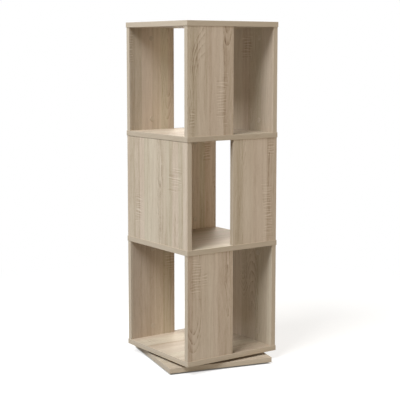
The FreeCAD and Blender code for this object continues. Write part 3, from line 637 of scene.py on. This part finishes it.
# Millimetres
DOWEL_MARGIN = 40  # in from an upright's edges
CAM_MARGIN = 72  # in from a wide upright's edges
CAM_SETBACK = 34  # in from an upright's ends
RACE_SCREW_MARGIN = 15  # in from a race plate's edges
GLIDE_INSET = 30  # in from the base board's edges
HALF_BOARD = 8  # half of a board's thickness

UP = Vector((0, 0, 1))


def fitting_spots(tier):
    """Plan places of a storey's dowels and cam bolts, and each bolt's way into the cabinet."""
    dowels = []
    bolts = []
    for where in UPRIGHTS:
        low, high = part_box(f"{tier}_{where}_panel_edging")
        middle = (low + high) / 2
        inward = Vector((-middle.x, 0, 0)) if where == "side" else Vector((0, -middle.y, 0))
        inward.normalize()
        along = Vector((inward.y, inward.x, 0))
        half = max(high.x - low.x, high.y - low.y) / 2
        for side in (-1, 1):
            dowels.append(middle + along * side * (half - DOWEL_MARGIN * MM))
        cams_out = (-half + CAM_MARGIN * MM, half - CAM_MARGIN * MM) if where == "side" else (0,)
        for out in cams_out:
            bolts.append((middle + along * out, inward))
    return dowels, bolts


def board_stands(number, spots_of):
    """Where one kind of fitting stands in a tower board, and the way out of the board."""
    low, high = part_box(TOWER_BOARDS[number])
    stands = []
    if number > 0:
        stands += [((spot.x, spot.y, low.z), -UP) for spot in spots_of(TIERS[number - 1])]
    if number < len(TIERS):
        stands += [((spot.x, spot.y, high.z), UP) for spot in spots_of(TIERS[number])]
    return stands


def square_spots(half, level, turn=0.0):
    """The four corners of a square about the axis, turned clockwise by turn degrees."""
    angle = math.radians(-turn)
    spots = []
    for x, y in ((-half, -half), (half, -half), (-half, half), (half, half)):
        spots.append(Vector((x * math.cos(angle) - y * math.sin(angle),
                             x * math.sin(angle) + y * math.cos(angle), level)))
    return spots


# ---------------------------------------------------------------- dowels, bolts and caps


def fluted_dowel():
    """A beech dowel, 8 x 30 mm, 11 mm of it below z = 0: chamfered, with pressed flutes."""
    sides = 48
    sides_per_flute = 3
    flute_margin = 0.12
    flute_depth = 0.3
    dowel = turned("dowel", ((3, -11), (4, -10), (4, 18), (3, 19)), sides)
    bpy.ops.object.mode_set(mode="EDIT")
    bpy.ops.mesh.select_mode(type="FACE")
    bpy.ops.mesh.select_all(action="DESELECT")
    bpy.ops.object.mode_set(mode="OBJECT")
    for face in dowel.data.polygons:
        turn = math.degrees(math.atan2(face.center.y, face.center.x)) % 360
        side = int(turn * sides / 360)
        face.select = abs(face.normal.z) < 0.1 and side % sides_per_flute == 0
    bpy.ops.object.mode_set(mode="EDIT")
    bpy.ops.mesh.inset(thickness=flute_margin * MM, depth=-flute_depth * MM, use_individual=True)
    bpy.ops.object.mode_set(mode="OBJECT")
    return dowel


def cam_bolt():
    """A cam connector's bolt, standing on z = 0: thread below, then flange, shank and head."""
    bolt = turned("bolt", ((0.4, -11), (1.0, -10.6), (1.8, -9), (1.8, -0.4), (2.4, 0), (3.4, 0),
                           (3.7, 0.3), (3.7, 1.6), (3.3, 2.0), (3.0, 2.0), (3.0, 12), (2.75, 12.3),
                           (2.75, 13.7), (3.0, 14), (3.0, 25.7), (2.2, 26.1), (2.2, 30.5), (3.1, 30.5),
                           (3.5, 30.9), (3.5, 36.6), (2.9, 37.4), (1.5, 37.5), (1.2, 36.2)), 24)
    ridge = thread(core=1.75, crest=2.5, pitch=1.5, start=-9.4, turns=6)
    return joined("bolt", [bolt, ridge])


def cover_cap():
    """A cap over a cam, on z = 0: a thin dished disc with a rolled rim, and its spigot."""
    return turned("cap", ((2.4, -1.9), (2.7, -1.6), (2.7, 0), (8.3, 0), (8.5, 0.2), (8.46, 0.55),
                          (8.2, 0.85), (7.8, 1.0), (7.3, 0.92), (6.9, 0.74), (6.2, 0.7), (3.0, 0.78),
                          (0.6, 0.8)), 40)


def make_fittings():
    wood = beech()
    steel = zinc_plated("zinc_plated_steel")
    cap_plastic = moulded_plastic("moulded_oak_coloured_plastic", "#AD9D88", "#C3B5A1",
                                  roughness=0.5, grain_mm=0.5)
    for number, board in enumerate(TOWER_BOARDS):
        stands = board_stands(number, lambda tier: fitting_spots(tier)[0])
        piece = set_out(f"{board}_fluted_dowels", fluted_dowel(), stands)
        hand_over(piece, "tower", f"{board}_dowels", wood)
        stands = board_stands(number, lambda tier: [spot for spot, _ in fitting_spots(tier)[1]])
        piece = set_out(f"{board}_threaded_bolts", cam_bolt(), stands)
        hand_over(piece, "tower", f"{board}_cam_bolts", steel)
    for tier in TIERS:
        stands = []
        for spot, inward in fitting_spots(tier)[1]:
            low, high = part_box(f"{tier}_side_panel")
            face = spot + inward * HALF_BOARD * MM
            for level in (low.z + CAM_SETBACK * MM, high.z - CAM_SETBACK * MM):
                stands.append(((face.x, face.y, level), inward))
        piece = set_out(f"{tier}_tier_dished_caps", cover_cap(), stands)
        hand_over(piece, "tower", f"{tier}_tier_cam_caps", cap_plastic)


# ---------------------------------------------------------------- glides, nails and screws


def floor_glide():
    """A moulded glide, standing on z = 0: tapered wall, rounded sole, recess for its nail."""
    return turned("glide", ((1.05, 5), (11.6, 5), (12.0, 4.8), (13.0, 2.6), (13.0, 1.4), (12.6, 0.6),
                            (12.0, 0.15), (11.2, 0), (9.6, 0), (9.3, 0.35), (8.3, 0.35), (8.0, 0),
                            (5.1, 0), (4.5, 0.4), (4.5, 2.5), (1.05, 2.5), (1.05, 5)), 48, ring=True)


def glide_nail():
    """A flat-headed nail, pointing up from z = 0, with grip rings below its head."""
    first_ring = 2.2
    ring_pitch = 0.7
    rings = [(radius, first_ring + ring_pitch * ring + step) for ring in range(5)
             for step, radius in ((0.0, 0.86), (0.2, 1.0), (0.35, 1.0))]
    profile = ((2.6, 0), (3.0, 0.25), (3.0, 0.95), (2.8, 1.2), (1.4, 1.2), (1.0, 1.6), *rings,
               (0.9, 13.6), (0.12, 16.2))
    return turned("nail", profile, 20)


def pan_head_screw():
    """A screw for sheet, standing on its head at z = 0 and pointing up: pan head, cross
    recess, full thread, point."""
    body = turned("screw", ((2.6, 0), (3.3, 0.12), (3.8, 0.5), (4.0, 1.0), (4.0, 1.8), (3.8, 2.0),
                            (1.7, 2.0), (1.4, 2.4), (1.4, 11.4), (0.7, 13.2), (0.15, 14)), 28)
    recess_long = 4.4
    recess_wide = 1.0
    recess_deep = 1.2
    for x, y in ((recess_long, recess_wide), (recess_wide, recess_long)):
        deselect()
        bpy.ops.mesh.primitive_cube_add(size=MM, location=(0, 0, 0))
        cutter = bpy.context.object
        bpy.ops.transform.resize(value=(x, y, 2 * recess_deep))
        bpy.ops.object.transform_apply()
        deselect()
        body.select_set(True)
        bpy.context.view_layer.objects.active = body
        bpy.ops.object.modifier_add(type="BOOLEAN")
        recess = body.modifiers[-1]
        recess.operation = "DIFFERENCE"
        recess.solver = "EXACT"
        recess.object = cutter
        bpy.ops.object.modifier_apply(modifier=recess.name)
        bpy.data.objects.remove(cutter)
    ridge = thread(core=1.35, crest=2.0, pitch=1.3, start=2.9, turns=7)
    return joined("screw", [body, ridge])


def base_half_width():
    """Half of the base board's side: a turned square is wider by its turn's cosine and sine."""
    turn = math.radians(BASE_TURN)
    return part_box("base_board_edging")[1].x / (math.cos(turn) + math.sin(turn))


def make_foot():
    plastic = moulded_plastic("moulded_dark_brown_plastic", "#2A211B", "#40342B",
                              roughness=0.45, grain_mm=0.6)
    steel = zinc_plated("zinc_plated_steel_fastener")
    glide_out = base_half_width() - GLIDE_INSET * MM
    corners = ("front_left", "front_right", "rear_left", "rear_right")
    for corner, spot in zip(corners, square_spots(glide_out, 0.0, BASE_TURN)):
        piece = set_out(f"glide_{corner}_moulded", floor_glide(), [(spot, UP)])
        hand_over(piece, "base", f"glide_{corner}", plastic)
    nail_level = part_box("glide_nails")[0].z
    stands = [(spot, UP) for spot in square_spots(glide_out, nail_level, BASE_TURN)]
    piece = set_out("glide_ringed_nails", glide_nail(), stands)
    hand_over(piece, "base", "glide_nails", steel)

    race_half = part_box("bearing_upper_race")[1].x
    screw_out = race_half - RACE_SCREW_MARGIN * MM
    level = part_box("bearing_lower_screws")[1].z
    stands = [(spot, -UP) for spot in square_spots(screw_out, level, BASE_TURN)]
    piece = set_out("bearing_lower_pan_screws", pan_head_screw(), stands)
    hand_over(piece, "base", "bearing_lower_screws", steel)
    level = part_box("bearing_upper_screws")[0].z
    stands = [(spot, UP) for spot in square_spots(screw_out, level)]
    piece = set_out("bearing_upper_pan_screws", pan_head_screw(), stands)
    hand_over(piece, "tower", "bearing_upper_screws", steel)


def dress_hardware():
    """Materials for the carried-over nodes of metal and plastic."""
    cast = metal("die_cast_zinc", "#8F9294", "#B3B6B8", rough_from=0.38, rough_to=0.55,
                 grit_mm=0.5, blotch_mm=4, depth_mm=0.05)
    sheet = galvanised_sheet()
    for tier in TIERS:
        dress(f"{tier}_tier_cams", cast)
    for name in ("bearing_lower_race", "bearing_upper_race"):
        dress(name, sheet)
    ground = metal("ground_bearing_steel", "#C9CACB", "#E2E3E3", rough_from=0.06, rough_to=0.14,
                   grit_mm=0.4, blotch_mm=3, depth_mm=0.004)
    dress("bearing_balls", ground)
    nylon = moulded_plastic("moulded_natural_nylon", "#D2CFC4", "#E4E1D8",
                            roughness=0.42, grain_mm=0.5)
    dress("bearing_ball_cage", nylon)


# ---------------------------------------------------------------- camera, light and floor

CAMERA_PLACE = Vector((-2.0016, -2.8320, 0.9910))
CAMERA_YAW = 35.19  # degrees to the right of straight on
CAMERA_PITCH = -7.0
SENSOR = 36.0  # millimetres
LENS = 97.8  # millimetres
SHIFT = -0.04
ROOM_LIGHT = 0.09
LAMP_AIM = Vector((0, 0, 0.5))

# The floor's own light, which shows it white where nothing shades it, and the little that is
# left of it under the base board, which paints shade there over the matt floor's real shade.
# It sets in about the base board's edge, between so many millimetres inside it and outside it.
FLOOR_LIGHT = 0.76
FOOT_LIGHT = 0.06
INSIDE_EDGE = 8
OUTSIDE_EDGE = 1

# Metres from the axis where the floor begins to turn plain white, and where it is
WHITE_STARTS = 0.45
WHITE_FROM = 1.6
FLOOR_SIZE = 60


def make_camera():
    lens = bpy.data.cameras.new("camera")
    lens.sensor_width = SENSOR
    lens.lens = LENS
    lens.shift_y = SHIFT
    camera = bpy.data.objects.new("camera", lens)
    camera.location = CAMERA_PLACE
    camera.rotation_euler = (math.radians(90 + CAMERA_PITCH), 0, math.radians(-CAMERA_YAW))
    bpy.context.scene.collection.objects.link(camera)
    bpy.context.scene.camera = camera


def softbox(name, place, size, power, code):
    """A square area lamp that faces the cabinet's middle. Metres and watts."""
    lamp = bpy.data.lights.new(name, "AREA")
    lamp.size = size
    lamp.energy = power
    lamp.color = srgb(code)[:3]
    holder = bpy.data.objects.new(name, lamp)
    holder.location = place
    aim = LAMP_AIM - Vector(place)
    holder.rotation_euler = aim.to_track_quat("-Z", "Y").to_euler()
    bpy.context.scene.collection.objects.link(holder)


def seen_rays(tree):
    """1 for what the camera sees, straight or in a reflection or through glass, else 0."""
    rays = node(tree, "LightPath")
    seen = rays.outputs["Is Camera Ray"]
    for kind in ("Is Glossy Ray", "Is Transmission Ray"):
        seen = node(tree, "Math", [seen, rays.outputs[kind]], operation="MAXIMUM")
    return seen


def make_world():
    """A white background to the eye and in reflections, and a dim warm room as light."""
    world = bpy.data.worlds.new("studio")
    world.use_nodes = True
    tree = world.node_tree
    tree.nodes.clear()
    room = node(tree, "Background", {"Color": srgb("#F6E4CC"), "Strength": ROOM_LIGHT})
    white = node(tree, "Background", {"Color": (1, 1, 1, 1), "Strength": 1.0})
    both = node(tree, "MixShader", [seen_rays(tree), room, white])
    node(tree, "OutputWorld", {"Surface": both})
    bpy.context.scene.world = world


def make_floor():
    """A pale matt floor that shows white where nothing shades it, with painted shade under the base
    board, and white far off.
    """
    material, tree = blank_material("pale_matt_floor")
    seen = seen_rays(tree)
    matt = node(tree, "BsdfDiffuse", {"Color": srgb("#A09E9A")})
    where = node(tree, "TexCoord").outputs["Object"]
    turned_back = node(tree, "Mapping", {"Vector": where, "Rotation": (0, 0, math.radians(BASE_TURN))})
    outward = node(tree, "VectorMath", [turned_back], operation="ABSOLUTE")
    x, y, _ = node(tree, "SeparateXYZ", [outward]).outputs
    out = node(tree, "Math", [x, y], operation="MAXIMUM")
    edge = base_half_width()
    # the floor's own light drops to FOOT_LIGHT inside the base board's edge: painted shade under the
    # base
    floor_light_with_painted_shade = node(tree, "MapRange", {"Value": out, "From Min": edge - INSIDE_EDGE * MM,
                                         "From Max": edge + OUTSIDE_EDGE * MM,
                                         "To Min": FOOT_LIGHT, "To Max": FLOOR_LIGHT})
    strength = node(tree, "Math", [seen, floor_light_with_painted_shade], operation="MULTIPLY")
    lifted = node(tree, "AddShader", [matt, node(tree, "Emission", {"Strength": strength})])
    away = node(tree, "VectorMath", [where], operation="LENGTH").outputs["Value"]
    far = node(tree, "MapRange", {"Value": away, "From Min": WHITE_STARTS, "From Max": WHITE_FROM},
               interpolation_type="SMOOTHSTEP")
    fade = node(tree, "Math", [far, seen], operation="MULTIPLY")
    white = node(tree, "Emission", {"Strength": 1.0})
    node(tree, "OutputMaterial", {"Surface": node(tree, "MixShader", [fade, lifted, white])})
    deselect()
    bpy.ops.mesh.primitive_plane_add(size=FLOOR_SIZE)
    floor = bpy.context.object
    floor.name = "floor"
    floor.data.materials.append(material)


deselect()
make_camera()
cover_boards()
dress_hardware()
make_fittings()
make_foot()
make_world()
make_floor()
softbox("key_light", (-4.95, -1.5, 6.65), size=3.9, power=905, code="#F6FAFF")
softbox("front_fill", (1.6, -4.4, 1.0), size=1.9, power=56, code="#FFEFD8")
softbox("rear_fill", (3.2, 3.0, 1.5), size=2.6, power=130, code="#FFF6EA")
bpy.context.scene.view_settings.view_transform = "Standard"
